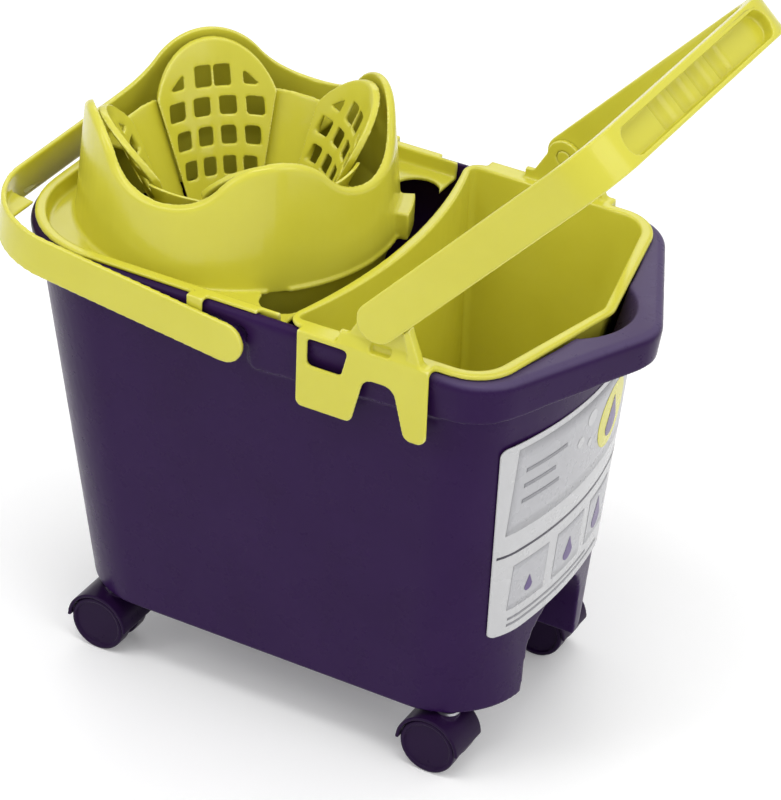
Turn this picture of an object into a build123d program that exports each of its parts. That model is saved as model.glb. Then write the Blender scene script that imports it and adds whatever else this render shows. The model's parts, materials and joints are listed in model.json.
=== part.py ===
from build123d import *
import os
from math import asin, cos, hypot, pi, radians, sin, tan

os.makedirs("parts", exist_ok=True)

# Mop bucket on casters, with an automatic wringer, a removable rinse tub and two handles.
# Millimetres, +Z up, +X towards the pouring spout, origin on the floor under the middle of the base.

# Bucket body
BASE_Z = 46.0
BASE_BACK_X = -162.5
BASE_FRONT_X = 152.0
BASE_HALF_WIDTH = 91.0
BASE_CORNER = 58.0
BASE_BOW = 10.0
RIM_Z = 324.0
RIM_BACK_X = -194.0
RIM_FRONT_X = 156.0
RIM_HALF_WIDTH = 119.0
RIM_CORNER = 72.0
RIM_FRONT_CORNER = 40.0
RIM_BOW = 30.0
WALL = 2.6
FLOOR_Z = 68.0
FLOOR_T = 3.0
CUT_THROUGH = 0.001

# Rim deck with its turned-down skirt, and the pouring spout
DECK_T = 3.0
RIM_OVERHANG = 4.0
DECK_EDGE_R = 5.0
PROW_SHOULDER_X = 166.0
PROW = 58.0
PROW_CORNER = 40.0
PROW_NOSE_R = 30.0
SKIRT_T = 2.4
SKIRT_DRAFT = 0.13
SKIRT_LOW_Z = 283.0
SKIRT_SLOPE = 0.0735
SKIRT_START_X = -3.0
SKIRT_SHORT = 10.0
SKIRT_STEP_R = 5.0
SPOUT_X = 157.0
SPOUT_TOP_R = 44.0
SPOUT_LOW_R = 20.0
SPOUT_DEPTH = 40.0

# Hand recesses under the two ends
ARCH_R = 37.0
ARCH_SPRING_Z = 76.0
ARCH_DEPTH = 46.0

# Twin-wheel casters
CASTER_X = 127.75
CASTER_Y = 76.0
CASTER_TRAIL = 6.5
WHEEL_R = 20.0
WHEEL_T = 12.0
WHEEL_FACE_DISH = 1.6
WHEEL_FACE_RIM = 3.2
WHEEL_EDGE_R = 1.6
WEB_T = 7.0
WHEEL_GAP = 0.6
HOOD_R = 23.0
HOOD_T = 2.4
HOOD_SIDE = 1.0
AXLE_R = 3.0
AXLE_CLEAR = 0.06
STEM_R = 4.0
STEM_CLEAR = 0.08
STEM_COLLAR_R = 8.0
STEM_COLLAR_T = 2.0
STEM_GRIP = 22.0
STEM_END_GAP = 2.0
STEM_SEAT = 12.0
STEM_COLLAR_GAP = 0.4
STEM_BLOCK_RISE = 8.0
STEM_BLOCK_WALL = 2.5
SOCKET_R = 9.0

# Carrying bail of the bucket
BAIL_X = -15.5
BAIL_Z = 303.0
BAIL_TILT = 7.2
BAIL_END_GAP = 10.0
BAIL_HEIGHT = 28.0
BAIL_T = 3.5
BAIL_CLEAR = 2.9
BAIL_CORNER = 62.0
BAIL_PIN_R = 5.0
BAIL_PIN_CLEAR = 0.08
BAIL_PIN_DEPTH = 4.5
BAIL_PIN_END_GAP = 0.3
BAIL_WEB_LAP = 8.5
BAIL_WEB_T = 2.6
BAIL_WEB_Y = 80.0
BAIL_WEB_RISE = -0.5
BAIL_WEB_CORNER = 8.0

# Wringer housing: tray and lobed shell in one moulding
WRINGER_X = -82.5
TRAY_T = 2.8
TRAY_RIGHT_X = 17.0
TRAY_LIP_X = 3.0
TRAY_LIP_INSET = 3.5
TRAY_WAIST_X = -40.0
TRAY_TAIL_Y = 85.0
TRAY_NOTCH_R = 15.0
TRAY_PAN_Z = 314.0
TRAY_FIT = 1.6
TRAY_EDGE_R = 1.0
TRAY_LONG_EDGE = 60.0
SHELL_BASE_R = 106.0
SHELL_TOP_R = 98.0
SHELL_T = 5.5
SHELL_LIP_R = 0.76 * SHELL_T
SHELL_PEAK_Z = 400.0
SHELL_VALLEY_Z = 367.0
SHELL_CREST_R = 45.0
SHELL_VALLEY_FLAT = 2.21
LEDGE_R = 90.0
LEDGE_T = 3.0
LEDGE_Z = 340.0
LEDGE_HALF_WIDTH = 18.0
CLIP_X = -38.5
CLIP_WIDTH = 12.0
CLIP_T = 2.0
CLIP_DROP = 22.0
COLLAR_OUT = 8.0
COLLAR_FROM = 13.0
COLLAR_TO = 28.0
COLLAR_TOP_Z = 333.0
SPLASH_Z = 286.0
SPLASH_R = 96.0
SPLASH_T = 2.4

# Wringer basket, jaws and press plate
PIVOT_R = 46.0
PIVOT_Z = 277.0
JAW_SHELL_GAP = 1.0
JAW_FOOT_R = 33.2
JAW_T = 2.6
JAW_RIM_T = 5.0
JAW_TOP_R = SHELL_TOP_R - SHELL_T - JAW_RIM_T - JAW_SHELL_GAP
JAW_RIM_W = 3.6
JAW_HALF_WIDTH = 40.0
JAW_FOOT_HALF_WIDTH = 17.9
JAW_TOP_Z = 395.5
JAW_SHOULDER_Z = 366.0
JAW_HOLE = 11.0
JAW_HOLE_R = 1.5
JAW_HOLE_LEAST = 0.75
JAW_PITCH = 17.5
JAW_ROWS = 5
JAW_ROW_STEP = 18.0
JAW_ROW_TOP_Z = 355.0
JAW_PAIR_STEP = 0.58
JAW_PAIR_RISE = 2.0
JAW_CORNER_FROM = 1.15
JAW_CORNER_TO = 1.75
JAW_CORNER_RISE = 0.8
JAW_BOSS_R = 6.0
JAW_BOSS_W = 22.0
JAW_LEVER_T = 4.5
JAW_LEVER_TIP_R = 14.0
JAW_SWING = 13.0
PIN_R = 2.5
PIN_CLEAR = 0.05
PANEL_TOP_Z = 364.0
PANEL_HALF_ANGLE = 15.0
PANEL_T = 2.6
PANEL_GAP = 0.6
PANEL_OUT = JAW_RIM_T + PANEL_GAP
RING_T = 5.0
RING_IN_R = 28.0
RING_OUT_R = 58.0
RING_GAP = 2.0
LUG_INSET = 2.0
LUG_GAP = 2.0
EAR_T = 4.0
EAR_GAP = 0.4
HUB_Z = 236.0
HUB_T = 5.0
HUB_R = 18.0
HUB_LAP = 8.0
ARM_T = 6.0
POST_R = 4.5
POST_GAP = 1.5
PLATE_R = 20.0
PLATE_T = 4.0
PLATE_EDGE_R = 1.5
PLATE_GAP = 0.3
SLEEVE_T = 2.0
SLEEVE_CLEAR = 0.1
SLEEVE_DROP = 26.0
SPRING_WIRE = 1.6
SPRING_MEAN_R = 8.8
SPRING_TURNS = 6
SPRING_GAP = 0.1

# Rinse tub
TUB_BACK_X = 25.0
TUB_ARC = 19.0
TUB_FRONT_X = 159.5
TUB_NOSE_X = 185.0
TUB_HALF_WIDTH = 115.4
TUB_FRONT_HALF_WIDTH = 113.0
TUB_CORNER = 6.0
TUB_FRONT_CORNER = 26.0
TUB_NOSE_CORNER = 14.0
TUB_FLOOR_Z = 126.0
TUB_FLOOR_BACK_X = 40.0
TUB_FLOOR_FRONT_X = 126.0
TUB_FLOOR_NOSE_X = 142.0
TUB_FLOOR_HALF_WIDTH = 86.0
TUB_FLOOR_TAPER = 3.0
TUB_WALL = 2.4
TUB_RIM_Z = 328.0
TUB_RIM_OUT = 5.0
TUB_RIM_T = 3.4
TUB_RIM_EDGE_R = 1.4
HANGER_X0 = 35.5
HANGER_X1 = 127.5
HANGER_T = 3.0
HANGER_FIT = 0.4
HANGER_LOW_Z = 274.0
HANGER_CORNER = 5.0
HANGER_TIP_R = 6.5
WINDOW_X0 = 43.0
WINDOW_X1 = 71.5
WINDOW_LOW_X1 = 67.0
WINDOW_Z0 = 305.0
WINDOW_Z1 = 324.0
WINDOW_R = 3.0
SLOT_X = 93.0
SLOT_LENGTH = 14.0
SLOT_HEIGHT = 6.0
SLOT_DEPTH = 5.5
SLOT_Z = 331.0
LEG_X1 = 74.5
TIP_X0 = 112.5
FORK_X0 = 83.0
FORK_X1 = 103.5
FORK_TOP_Z = 308.0
FORK_R = 8.0
EAR_X = 90.5
EAR_HALF_WIDTH = 27.0
EAR_TOP_Z = 362.0
EAR_THICK = 3.6
EAR_SLOPE_Z = 335.0
STOP_ALONG = 11.0
STOP_LENGTH = 6.0
STOP_FOOT_X = 123.0
STOP_WIDTH = 9.0
STOP_GAP = 0.3
STOP_T = 3.0

# Rinse tub handle
HANDLE_Z = 350.0
HANDLE_LEAN = 43.0
HANDLE_LENGTH = 207.0
HANDLE_WIDTH = 28.0
HANDLE_T = 4.0
HANDLE_CLEAR = 0.4
HANDLE_BEND = 34.0
HANDLE_PIN_R = 5.0
HANDLE_PIN_CLEAR = 0.06
GRIP_DEPTH = 14.0
GRIP_WALL = 3.0
GRIP_LIP = 5.0
GRIP_HALF_LENGTH = 96.0
GRIP_FLOOR_T = 6.0
SCOOP_R = 16.0
SCOOP_DEPTH = 3.0
SCOOP_PITCH = 25.0
SCOOPS = 4

# Sticker on the spout end
LABEL_T = 0.5
LABEL_BOTTOM_Z = 110.0
LABEL_TOP_Z = 266.0
LABEL_NEAR_TOP_Y = -93.0
LABEL_NEAR_LOW_Y = -77.0
LABEL_FAR_Y = 78.0
LABEL_CORNER = 5.0


def save(shape, name):
    shape.label = name
    export_step(shape, f"parts/{name}.step")


def between(low, high, z, z_low, z_high):
    return low + (high - low) * (z - z_low) / (z_high - z_low)


def plan(x_back, x_front, half_width, back_corner, front_corner, bow):
    """Plan outline: straight back and sides, front end bowed outward."""
    a = (x_back, -half_width)
    b = (x_front, -half_width)
    c = (x_front, half_width)
    d = (x_back, half_width)
    front = ThreePointArc(b, (x_front + bow, 0), c)
    face = make_face([Line(a, b), front, Line(c, d), Line(d, a)])
    corners = face.vertices().sort_by(Axis.X)
    face = fillet(corners[:2], back_corner)
    corners = [v for v in face.vertices() if abs(abs(v.Y) - half_width) < 0.01 and abs(v.X - x_front) < 0.01]
    return fillet(corners, front_corner)


def wall_plan(z, inset):
    """Outline of the bucket wall at a height, moved in from its outer face."""
    x_back = between(BASE_BACK_X, RIM_BACK_X, z, BASE_Z, RIM_Z) + inset
    x_front = between(BASE_FRONT_X, RIM_FRONT_X, z, BASE_Z, RIM_Z) - inset
    half_width = between(BASE_HALF_WIDTH, RIM_HALF_WIDTH, z, BASE_Z, RIM_Z) - inset
    corner = between(BASE_CORNER, RIM_CORNER, z, BASE_Z, RIM_Z) - inset
    front_corner = between(BASE_CORNER, RIM_FRONT_CORNER, z, BASE_Z, RIM_Z) - inset
    bow = between(BASE_BOW, RIM_BOW, z, BASE_Z, RIM_Z)
    return Pos(0, 0, z) * plan(x_back, x_front, half_width, corner, front_corner, bow)


def wall_form(z_low, z_high, inset):
    return loft([wall_plan(z_low, inset), wall_plan(z_high, inset)], ruled=True)


def rim_plan(inset):
    """Outline of the rim deck: straight sides, its front end drawn out to a blunt prow."""
    half_width = RIM_HALF_WIDTH + RIM_OVERHANG
    slant = hypot(half_width, PROW) / half_width
    x_back = RIM_BACK_X - RIM_OVERHANG + inset
    x_shoulder = PROW_SHOULDER_X - inset * (slant - PROW / half_width)
    x_nose = PROW_SHOULDER_X + PROW - inset * slant
    half = half_width - inset
    points = [(x_back, -half), (x_shoulder, -half), (x_nose, 0), (x_shoulder, half), (x_back, half)]
    face = make_face(Polyline(*points, close=True))
    face = fillet([v for v in face.vertices() if abs(v.X - x_back) < 0.01], RIM_CORNER + RIM_OVERHANG - inset)
    face = fillet([v for v in face.vertices() if abs(v.X - x_shoulder) < 0.01], PROW_CORNER - inset)
    return fillet([face.vertices().sort_by(Axis.X)[-1]], PROW_NOSE_R - inset)


def skirt_form(z_low, z_high, inset):
    """Block inside the rim skirt, which draws in towards its lower edge."""
    low = Pos(0, 0, z_low) * rim_plan(inset + SKIRT_DRAFT * (RIM_Z - z_low))
    high = Pos(0, 0, z_high) * rim_plan(inset + SKIRT_DRAFT * (RIM_Z - z_high))
    return loft([low, high], ruled=True)


def arch_prism(grow, depth, end):
    """Hand recess, run in along X from one end of the base."""
    low = BASE_Z - 1
    radius = ARCH_R + grow
    legs = Pos(0, (low + ARCH_SPRING_Z) / 2) * Rectangle(2 * radius, ARCH_SPRING_Z - low)
    profile = legs + Pos(0, ARCH_SPRING_Z) * Circle(radius)
    reach = BASE_FRONT_X + BASE_BOW if end > 0 else -BASE_BACK_X
    far = max(RIM_FRONT_X + RIM_BOW, -RIM_BACK_X) + PROW
    inner = reach - depth - grow
    solid = extrude(Plane(origin=(inner, 0, 0), x_dir=(0, 1, 0), z_dir=(1, 0, 0)) * profile, far - inner)
    return solid if end > 0 else mirror(solid, Plane.YZ)


def bail_boss(side):
    outer = RIM_HALF_WIDTH + RIM_OVERHANG
    inner = between(BASE_HALF_WIDTH, RIM_HALF_WIDTH, BAIL_Z, BASE_Z, RIM_Z) - WALL
    boss = Plane(origin=(BAIL_X, side * inner, BAIL_Z), x_dir=(1, 0, 0), z_dir=(0, side, 0))
    return extrude(boss * Circle(2 * BAIL_PIN_R), outer - inner)


def bail_hole(side):
    outer = RIM_HALF_WIDTH + RIM_OVERHANG
    start = side * (outer - BAIL_PIN_DEPTH)
    mouth = Plane(origin=(BAIL_X, start, BAIL_Z), x_dir=(1, 0, 0), z_dir=(0, side, 0))
    return extrude(mouth * Circle(BAIL_PIN_R + BAIL_PIN_CLEAR), BAIL_PIN_DEPTH + 1)


def skirt_clip():
    """Everything under the lower edge of the rim skirt: short behind the bail, long and sloping ahead."""
    span = 2 * max(-RIM_BACK_X, RIM_FRONT_X) + 4 * PROW
    low = BASE_Z - 10
    short = RIM_Z - SKIRT_SHORT
    step = SKIRT_LOW_Z + SKIRT_SLOPE * SKIRT_START_X
    points = [
        (-span, low),
        (span, low),
        (span, SKIRT_LOW_Z + SKIRT_SLOPE * span),
        (SKIRT_START_X, step),
        (SKIRT_START_X, short),
        (-span, short),
    ]
    face = make_face(Polyline(*points, close=True))
    face = fillet([v for v in face.vertices() if abs(v.X - SKIRT_START_X) < 0.01], SKIRT_STEP_R)
    return extrude(Plane.XZ * face, RIM_HALF_WIDTH + 4 * RIM_OVERHANG, both=True)


def caster_stations():
    return {
        "front_left": (-CASTER_X, -CASTER_Y),
        "front_right": (CASTER_X, -CASTER_Y),
        "rear_left": (-CASTER_X, CASTER_Y),
        "rear_right": (CASTER_X, CASTER_Y),
    }


def bucket_body():
    shell = wall_form(BASE_Z, RIM_Z, 0)
    cavity = wall_form(FLOOR_Z, RIM_Z + CUT_THROUGH, WALL)
    underside = wall_form(BASE_Z, FLOOR_Z - FLOOR_T, WALL)
    skirt_low = SKIRT_LOW_Z - 2 * SKIRT_STEP_R
    skirt = fillet(skirt_form(skirt_low, RIM_Z, 0).edges().group_by(Axis.Z)[-1], DECK_EDGE_R)
    skirt -= skirt_form(skirt_low, RIM_Z - DECK_T, SKIRT_T)
    skirt -= skirt_clip()
    scoop_z = RIM_Z - SPOUT_DEPTH / 2
    scoop = Pos(SPOUT_X, 0, scoop_z) * Cone(SPOUT_LOW_R, SPOUT_TOP_R, SPOUT_DEPTH)
    scoop_skin = Pos(SPOUT_X, 0, scoop_z) * Cone(SPOUT_LOW_R + WALL, SPOUT_TOP_R + WALL, SPOUT_DEPTH)
    body = shell + skirt + scoop_skin
    for side in (-1, 1):
        body += bail_boss(side)
    body -= cavity
    body -= underside
    body -= scoop
    for end in (-1, 1):
        body += arch_prism(WALL, ARCH_DEPTH, end) & shell
        body -= arch_prism(0, ARCH_DEPTH, end)
    for side in (-1, 1):
        body -= bail_hole(side)
    bore_depth = STEM_GRIP + STEM_END_GAP
    for x, y in caster_stations().values():
        body += Pos(x, y, BASE_Z) * extrude(Circle(SOCKET_R), bore_depth + WALL)
        body -= Pos(x, y, BASE_Z) * extrude(Circle(STEM_R + STEM_CLEAR), bore_depth)
    return body


def caster_parts():
    """Stem, hood, axle and the two wheels of one caster, at the origin on the floor."""
    width = WEB_T + 2 * WHEEL_GAP + 2 * WHEEL_T
    axle_x = -CASTER_TRAIL
    across = Plane(origin=(axle_x, 0, WHEEL_R), x_dir=(1, 0, 0), z_dir=(0, -1, 0))
    ring = Circle(HOOD_R) - Circle(HOOD_R - HOOD_T)
    upper = Pos(0, HOOD_R) * Rectangle(4 * HOOD_R, 2 * HOOD_R)
    fender = extrude(across * (ring & upper), width / 2 + HOOD_SIDE, both=True)
    web = Circle(HOOD_R - HOOD_T / 2) & upper
    web += Circle(2 * AXLE_R)
    hood = fender + extrude(across * web, WEB_T / 2, both=True)
    top = BASE_Z - STEM_COLLAR_T - STEM_COLLAR_GAP
    neck_low = WHEEL_R + HOOD_R - HOOD_T
    hood += Pos(0, 0, neck_low) * extrude(Circle(STEM_COLLAR_R), top - neck_low)
    block_low = WHEEL_R + STEM_BLOCK_RISE
    block = Rectangle(2 * (STEM_R + STEM_BLOCK_WALL), WEB_T)
    hood += Pos(0, 0, block_low) * extrude(block, top - block_low - HOOD_T)
    bore_low = WHEEL_R + HOOD_R - STEM_SEAT
    hood -= Pos(0, 0, bore_low) * extrude(Circle(STEM_R), HOOD_R)
    hood -= extrude(across * Circle(AXLE_R), width, both=True)
    stem = Pos(0, 0, bore_low) * extrude(Circle(STEM_R), BASE_Z + STEM_GRIP - bore_low)
    stem += Pos(0, 0, top) * extrude(Circle(STEM_COLLAR_R), STEM_COLLAR_T)
    axle = extrude(across * Circle(AXLE_R), width / 2 - WHEEL_T / 2, both=True)
    wheels = []
    for side in (-1, 1):
        inner = WEB_T / 2 + WHEEL_GAP
        place = Plane(origin=(axle_x, side * inner, WHEEL_R), x_dir=(1, 0, 0), z_dir=(0, side, 0))
        disc = extrude(place * Circle(WHEEL_R), WHEEL_T)
        disc = fillet(disc.edges().filter_by(GeomType.CIRCLE), WHEEL_EDGE_R)
        dish = Plane(origin=(axle_x, side * (inner + WHEEL_T - WHEEL_FACE_DISH), WHEEL_R), z_dir=(0, side, 0))
        disc -= extrude(dish * Circle(WHEEL_R - WHEEL_FACE_RIM), WHEEL_T)
        disc -= extrude(place * Circle(AXLE_R + AXLE_CLEAR), WHEEL_T / 2 + WHEEL_GAP)
        wheels.append(disc)
    return {"stem": stem, "hood": hood, "axle": axle, "wheel_near": wheels[0], "wheel_far": wheels[1]}


def bail_handle():
    """Carrying bail, built level with its pivots on the Y axis, then laid back at its rest tilt."""
    inner = RIM_HALF_WIDTH + RIM_OVERHANG + BAIL_CLEAR
    outer = inner + BAIL_T
    half_height = BAIL_HEIGHT / 2
    deck_reach = BAIL_X - RIM_BACK_X + RIM_OVERHANG
    reach = deck_reach + BAIL_END_GAP
    web_reach = deck_reach - BAIL_WEB_LAP
    loop = plan(-reach - BAIL_T, 4 * half_height, outer, BAIL_CORNER, BAIL_T, 1)
    hollow = plan(-reach, 6 * half_height, inner, BAIL_CORNER - BAIL_T, BAIL_T, 1)
    band = extrude(loop - hollow, half_height, both=True)
    length = reach + BAIL_T + 1
    side_face = Circle(half_height) + Pos(-length / 2, 0) * Rectangle(length, BAIL_HEIGHT)
    bail = band & extrude(Plane.XZ * side_face, outer + 1, both=True)
    web_face = hollow - Pos(3 * half_height, 0) * Rectangle(2 * web_reach + 6 * half_height, 4 * outer)
    web_face -= Pos(-reach, 0) * RectangleRounded(reach, 2 * BAIL_WEB_Y, BAIL_WEB_CORNER)
    bail += extrude(Pos(0, 0, BAIL_WEB_RISE) * web_face, BAIL_WEB_T)
    for side in (-1, 1):
        pin = Plane(origin=(0, side * inner, 0), x_dir=(1, 0, 0), z_dir=(0, -side, 0))
        bail += extrude(pin * Circle(BAIL_PIN_R), BAIL_CLEAR + BAIL_PIN_DEPTH - BAIL_PIN_END_GAP)
    return Pos(BAIL_X, 0, BAIL_Z) * Rot(0, BAIL_TILT, 0) * bail


def crest(half_width, valley_z, peak_z, crest_r):
    """Bell-shaped face in a (tangent, height) plane: a round crest that runs out into two hollow feet."""
    rise = peak_z - valley_z
    both_radii = (half_width ** 2 + rise ** 2) / (2 * rise)
    foot_r = both_radii - crest_r
    turn = asin(half_width / both_radii)
    join = (crest_r * sin(turn), peak_z - crest_r + crest_r * cos(turn))
    half = turn / 2
    foot_mid = (half_width - foot_r * sin(half), valley_z + foot_r - foot_r * cos(half))
    foot = (half_width, valley_z)
    low = valley_z - rise
    edges = [
        ThreePointArc((-foot[0], foot[1]), (-foot_mid[0], foot_mid[1]), (-join[0], join[1])),
        ThreePointArc((-join[0], join[1]), (0, peak_z), join),
        ThreePointArc(join, foot_mid, foot),
        Line(foot, (foot[0], low)),
        Line((foot[0], low), (-foot[0], low)),
        Line((-foot[0], low), (-foot[0], foot[1])),
    ]
    return make_face(edges)


def facing(angle):
    """Plane through the wringer axis, looking out along a direction."""
    out = (cos(radians(angle)), sin(radians(angle)), 0)
    side = (-sin(radians(angle)), cos(radians(angle)), 0)
    return Plane(origin=(WRINGER_X, 0, 0), x_dir=side, z_dir=out)


def shell_radius(z):
    """Outer radius of the lobed shell at a height."""
    return between(SHELL_BASE_R, SHELL_TOP_R, z, TRAY_PAN_Z, SHELL_PEAK_Z + 1)


def cone_shell(z_low, z_high, r_low, r_high, thickness):
    """Conical wall about the wringer axis; the radii are its inner face."""
    points = [(r_low, z_low), (r_low + thickness, z_low), (r_high + thickness, z_high), (r_high, z_high)]
    profile = make_face(Polyline(*points, close=True))
    return Pos(WRINGER_X, 0, 0) * revolve(Plane.XZ * profile, Axis.Z)


def wringer_housing():
    """Tray that hangs on the rim deck, with the lobed shell standing on it."""
    half = RIM_HALF_WIDTH + RIM_OVERHANG
    top = RIM_Z + TRAY_T
    back = RIM_BACK_X - 2 * RIM_OVERHANG

    def up_to(x_right):
        return Pos((back + x_right) / 2, 0) * Rectangle(x_right - back, 4 * half)

    keep = up_to(TRAY_WAIST_X) + Pos(WRINGER_X, 0) * Circle(SHELL_BASE_R + TRAY_FIT)
    tail_len = TRAY_RIGHT_X - TRAY_WAIST_X
    for side in (-1, 1):
        tail_mid = side * (TRAY_TAIL_Y + half) / 2
        keep += Pos(TRAY_WAIST_X + tail_len / 2, tail_mid) * Rectangle(tail_len, half - TRAY_TAIL_Y)
    for side in (-1, 1):
        keep -= Pos(TRAY_RIGHT_X - TRAY_NOTCH_R, side * TRAY_TAIL_Y) * Circle(TRAY_NOTCH_R)
    pan_inset = WALL + TRAY_FIT
    pan = wall_form(TRAY_PAN_Z, top, pan_inset) & extrude(Pos(0, 0, TRAY_PAN_Z) * keep, top)
    hollow = wall_form(TRAY_PAN_Z + TRAY_T, top + 1, pan_inset + TRAY_T)
    lip_face = (rim_plan(TRAY_LIP_INSET) & up_to(TRAY_LIP_X)) - wall_plan(RIM_Z, pan_inset + TRAY_T).moved(
        Location((0, 0, -RIM_Z))
    )
    lip = extrude(Pos(0, 0, RIM_Z) * lip_face, TRAY_T)
    lip = fillet(lip.edges().group_by(Axis.Z)[-1].filter_by(lambda e: e.length > TRAY_LONG_EDGE), TRAY_EDGE_R)
    tray = pan - hollow + lip
    wall = cone_shell(TRAY_PAN_Z, SHELL_PEAK_Z + 1, SHELL_BASE_R - SHELL_T, SHELL_TOP_R - SHELL_T, SHELL_T)
    half_lobe = shell_radius(SHELL_VALLEY_Z) * sin(pi / 4) - SHELL_VALLEY_FLAT
    lobe_reach = max(SHELL_BASE_R, SHELL_TOP_R) + TRAY_FIT
    lobes = None
    for k in range(4):
        lobe = extrude(
            facing(45 + 90 * k) * crest(half_lobe, SHELL_VALLEY_Z, SHELL_PEAK_Z, SHELL_CREST_R),
            lobe_reach,
        )
        lobes = lobe if lobes is None else lobes + lobe
    low_ring = Pos(WRINGER_X, 0, TRAY_PAN_Z) * extrude(Circle(lobe_reach), SHELL_VALLEY_Z - TRAY_PAN_Z)
    wall = wall & (lobes + low_ring)

    def on_lip(edge):
        """True for the outer edge of the lobed lip."""
        mid = edge.position_at(0.5)
        off_face = abs(hypot(mid.X - WRINGER_X, mid.Y) - shell_radius(mid.Z))
        return mid.Z > SHELL_VALLEY_Z - 0.5 and off_face < SHELL_T / 2

    wall = fillet(wall.edges().filter_by(on_lip), SHELL_LIP_R)
    ledge_r = shell_radius(LEDGE_Z) - SHELL_T / 2
    cross = Rectangle(4 * SHELL_BASE_R, 2 * LEDGE_HALF_WIDTH)
    cross += Rectangle(2 * LEDGE_HALF_WIDTH, 4 * SHELL_BASE_R)
    ledge = Pos(WRINGER_X, 0, LEDGE_Z) * extrude((Circle(ledge_r) - Circle(LEDGE_R)) & cross, LEDGE_T)
    bore = Pos(WRINGER_X, 0, TRAY_PAN_Z - 1) * extrude(Circle(SHELL_BASE_R - SHELL_T), top - TRAY_PAN_Z + 2)
    collar_r = SHELL_BASE_R + COLLAR_OUT
    slice_points = [(0, 0)]
    for angle in (COLLAR_FROM, (COLLAR_FROM + COLLAR_TO) / 2, COLLAR_TO):
        slice_points.append((3 * collar_r * cos(radians(angle)), 3 * collar_r * sin(radians(angle))))
    collar_ring = Circle(collar_r) - Circle(SHELL_BASE_R - SHELL_T / 2)
    collar_face = make_face(Polyline(*slice_points, close=True)) & collar_ring
    collar = Pos(WRINGER_X, 0, TRAY_PAN_Z) * extrude(collar_face, COLLAR_TOP_Z - TRAY_PAN_Z)
    splash = cone_shell(SPLASH_Z, TRAY_PAN_Z + TRAY_T, SPLASH_R - SPLASH_T, SHELL_BASE_R - SHELL_T, SPLASH_T)
    housing = tray - bore
    housing = housing + wall + ledge + collar + splash
    clip_out = half + HANGER_FIT
    for side in (-1, 1):
        clip_mid = side * (clip_out + CLIP_T / 2)
        hook = Pos(CLIP_X, clip_mid, top - CLIP_DROP / 2) * Box(CLIP_WIDTH, CLIP_T, CLIP_DROP)
        bridge_in = half - TRAY_LIP_INSET - 2 * CLIP_T
        bridge_mid = side * (bridge_in + clip_out + CLIP_T) / 2
        hook += Pos(CLIP_X, bridge_mid, RIM_Z + TRAY_T / 2) * Box(
            CLIP_WIDTH, clip_out + CLIP_T - bridge_in, TRAY_T
        )
        housing += hook
    return housing


def jaw_radius(z):
    return between(JAW_FOOT_R, JAW_TOP_R, z, PIVOT_Z, JAW_TOP_Z)


def jaw_outline(inset):
    """Arch-topped outline of a jaw in its (tangent, height) plane, its sides along the cone."""
    top = JAW_TOP_Z - inset
    shoulder = JAW_HALF_WIDTH - inset
    foot = JAW_FOOT_HALF_WIDTH - inset
    low = PIVOT_Z + inset
    edges = [
        Line((-foot, low), (foot, low)),
        Line((foot, low), (shoulder, JAW_SHOULDER_Z)),
        ThreePointArc((shoulder, JAW_SHOULDER_Z), (0, top), (-shoulder, JAW_SHOULDER_Z)),
        Line((-shoulder, JAW_SHOULDER_Z), (-foot, low)),
    ]
    return make_face(edges)


def jaw_holes():
    """Rows of holes that narrow with the cone; on top a joined pair and two corner windows."""
    holes = None
    wide = jaw_radius(JAW_ROW_TOP_Z)
    for row in range(JAW_ROWS):
        z = JAW_ROW_TOP_Z - row * JAW_ROW_STEP
        scale = jaw_radius(z) / wide
        columns = 4 if scale > JAW_HOLE_LEAST else 2
        for column in range(columns):
            spot = Pos((column - (columns - 1) / 2) * JAW_PITCH * scale, z)
            hole = spot * RectangleRounded(JAW_HOLE * scale, JAW_HOLE, JAW_HOLE_R)
            holes = hole if holes is None else holes + hole
    top_row = JAW_ROW_TOP_Z + JAW_ROW_STEP
    for side in (-1, 1):
        pair_hole = RectangleRounded(JAW_HOLE, JAW_HOLE + JAW_PAIR_RISE, JAW_HOLE_R)
        holes += Pos(side * JAW_HOLE * JAW_PAIR_STEP, top_row) * pair_hole
        tip = side * JAW_PITCH * JAW_CORNER_TO
        base = side * JAW_PITCH * JAW_CORNER_FROM
        low = top_row - JAW_HOLE / 2
        corner = [(base, low), (tip, low), (base, low + JAW_HOLE * JAW_CORNER_RISE)]
        holes += make_face(Polyline(*corner, close=True))
    return holes


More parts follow.
